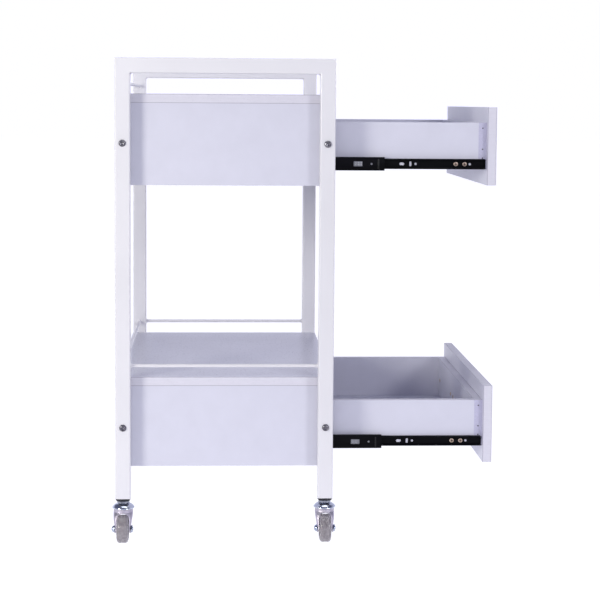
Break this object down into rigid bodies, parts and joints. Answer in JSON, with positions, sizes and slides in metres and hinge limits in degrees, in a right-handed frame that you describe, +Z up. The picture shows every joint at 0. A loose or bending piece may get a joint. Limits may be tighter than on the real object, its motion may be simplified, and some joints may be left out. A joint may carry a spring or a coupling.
{
  "type": "rolling salon trolley",
  "caption": "Rolling salon trolley: white tube side frames carry an upper and a lower drawer cabinet with an open shelf between, guard rods and swivel casters, drawers out.",
  "frame": {"origin": "on the floor under the middle of the trolley's overall box, with both drawers fully out", "axes": "+X towards the drawer fronts, the way the drawers open; +Y to the trolley's right as seen by a person facing the drawer fronts; +Z up"},
  "size_m": [0.6894, 0.663, 0.863],
  "materials": {
    "white_coat": "semi-gloss white powder coat",
    "white_board": "white melamine-faced board",
    "black_slide": "black coated slide steel",
    "ball_steel": "bare cage strip and bearing balls",
    "screw_yellow": "yellow zinc screws",
    "zinc": "bright zinc",
    "chrome": "bright plated pressings",
    "black_plastic": "moulded plug",
    "wheel_core": "moulded core",
    "tyre": "translucent grey polyurethane tread"
  },
  "bodies": {
    "trolley_frame": {"left_side_frame": "white_coat", "right_side_frame": "white_coat", "left_shelf_rail": "white_coat", "right_shelf_rail": "white_coat", "upper_back_rail": "white_coat", "lower_back_rail": "white_coat", "frame_bolts": "zinc", "leg_plugs": "black_plastic", "caster_stems": "chrome", "upper_top_board": "white_board", "upper_cabinet_left_side": "white_board", "upper_cabinet_right_side": "white_board", "upper_cabinet_back": "white_board", "upper_cabinet_bottom": "white_board", "upper_outer_rails": "black_slide", "lower_top_board": "white_board", "lower_cabinet_left_side": "white_board", "lower_cabinet_right_side": "white_board", "lower_cabinet_back": "white_board", "lower_cabinet_bottom": "white_board", "lower_outer_rails": "black_slide", "cabinet_fixings": "screw_yellow"},
    "upper_drawer": {"upper_drawer_front": "white_board", "upper_drawer_box_front": "white_board", "upper_drawer_left_side": "white_board", "upper_drawer_right_side": "white_board", "upper_drawer_back": "white_board", "upper_drawer_bottom": "white_board", "upper_drawer_screws": "screw_yellow", "upper_inner_rails": "black_slide"},
    "upper_middle_rails_slider": {"upper_middle_rails": "black_slide"},
    "upper_outer_cages_slider": {"upper_outer_cages": "ball_steel"},
    "upper_inner_cages_slider": {"upper_inner_cages": "ball_steel"},
    "lower_drawer": {"lower_drawer_front": "white_board", "lower_drawer_box_front": "white_board", "lower_drawer_left_side": "white_board", "lower_drawer_right_side": "white_board", "lower_drawer_back": "white_board", "lower_drawer_bottom": "white_board", "lower_drawer_screws": "screw_yellow", "lower_inner_rails": "black_slide"},
    "lower_middle_rails_slider": {"lower_middle_rails": "black_slide"},
    "lower_outer_cages_slider": {"lower_outer_cages": "ball_steel"},
    "lower_inner_cages_slider": {"lower_inner_cages": "ball_steel"},
    "front_left_swivel": {"front_left_fork": "chrome", "front_left_axle": "zinc"},
    "front_left_wheel": {"front_left_wheel_core": "wheel_core", "front_left_tyre": "tyre"},
    "front_right_swivel": {"front_right_fork": "chrome", "front_right_axle": "zinc"},
    "front_right_wheel": {"front_right_wheel_core": "wheel_core", "front_right_tyre": "tyre"},
    "rear_left_swivel": {"rear_left_fork": "chrome", "rear_left_axle": "zinc"},
    "rear_left_wheel": {"rear_left_wheel_core": "wheel_core", "rear_left_tyre": "tyre"},
    "rear_right_swivel": {"rear_right_fork": "chrome", "rear_right_axle": "zinc"},
    "rear_right_wheel": {"rear_right_wheel_core": "wheel_core", "rear_right_tyre": "tyre"}
  },
  "joints": [
    {"name": "upper_drawer_slide", "type": "slide", "parent": "trolley_frame", "child": "upper_drawer", "axis": [1, 0, 0], "range_m": [-0.294, 0]},
    {"name": "upper_middle_rails_slide", "type": "slide", "parent": "trolley_frame", "child": "upper_middle_rails_slider", "axis": [1, 0, 0], "range_m": [-0.147, 0]},
    {"name": "upper_outer_cages_slide", "type": "slide", "parent": "trolley_frame", "child": "upper_outer_cages_slider", "axis": [1, 0, 0], "range_m": [-0.0735, 0]},
    {"name": "upper_inner_cages_slide", "type": "slide", "parent": "trolley_frame", "child": "upper_inner_cages_slider", "axis": [1, 0, 0], "range_m": [-0.2205, 0]},
    {"name": "lower_drawer_slide", "type": "slide", "parent": "trolley_frame", "child": "lower_drawer", "axis": [1, 0, 0], "range_m": [-0.294, 0]},
    {"name": "lower_middle_rails_slide", "type": "slide", "parent": "trolley_frame", "child": "lower_middle_rails_slider", "axis": [1, 0, 0], "range_m": [-0.147, 0]},
    {"name": "lower_outer_cages_slide", "type": "slide", "parent": "trolley_frame", "child": "lower_outer_cages_slider", "axis": [1, 0, 0], "range_m": [-0.0735, 0]},
    {"name": "lower_inner_cages_slide", "type": "slide", "parent": "trolley_frame", "child": "lower_inner_cages_slider", "axis": [1, 0, 0], "range_m": [-0.2205, 0]},
    {"name": "front_left_caster_swivel", "type": "hinge", "parent": "trolley_frame", "child": "front_left_swivel", "pos_m": [0.03725, -0.2865, 0.057], "axis": [0, 0, 1], "continuous": true},
    {"name": "front_left_wheel_spin", "type": "hinge", "parent": "front_left_swivel", "child": "front_left_wheel", "pos_m": [0.03725, -0.3065, 0.025], "axis": [1, 0, 0], "continuous": true},
    {"name": "front_right_caster_swivel", "type": "hinge", "parent": "trolley_frame", "child": "front_right_swivel", "pos_m": [0.03725, 0.2865, 0.057], "axis": [0, 0, 1], "continuous": true},
    {"name": "front_right_wheel_spin", "type": "hinge", "parent": "front_right_swivel", "child": "front_right_wheel", "pos_m": [0.03725, 0.3065, 0.025], "axis": [1, 0, 0], "continuous": true},
    {"name": "rear_left_caster_swivel", "type": "hinge", "parent": "trolley_frame", "child": "rear_left_swivel", "pos_m": [-0.32475, -0.2865, 0.057], "axis": [0, 0, 1], "continuous": true},
    {"name": "rear_left_wheel_spin", "type": "hinge", "parent": "rear_left_swivel", "child": "rear_left_wheel", "pos_m": [-0.32475, -0.3065, 0.025], "axis": [1, 0, 0], "continuous": true},
    {"name": "rear_right_caster_swivel", "type": "hinge", "parent": "trolley_frame", "child": "rear_right_swivel", "pos_m": [-0.32475, 0.2865, 0.057], "axis": [0, 0, 1], "continuous": true},
    {"name": "rear_right_wheel_spin", "type": "hinge", "parent": "rear_right_swivel", "child": "rear_right_wheel", "pos_m": [-0.32475, 0.3065, 0.025], "axis": [1, 0, 0], "continuous": true}
  ],
  "couplings": [
    {"joint": "upper_middle_rails_slide", "follows": "upper_drawer_slide", "ratio": 0.5},
    {"joint": "upper_outer_cages_slide", "follows": "upper_drawer_slide", "ratio": 0.25},
    {"joint": "upper_inner_cages_slide", "follows": "upper_drawer_slide", "ratio": 0.75},
    {"joint": "lower_middle_rails_slide", "follows": "lower_drawer_slide", "ratio": 0.5},
    {"joint": "lower_outer_cages_slide", "follows": "lower_drawer_slide", "ratio": 0.25},
    {"joint": "lower_inner_cages_slide", "follows": "lower_drawer_slide", "ratio": 0.75}
  ]
}
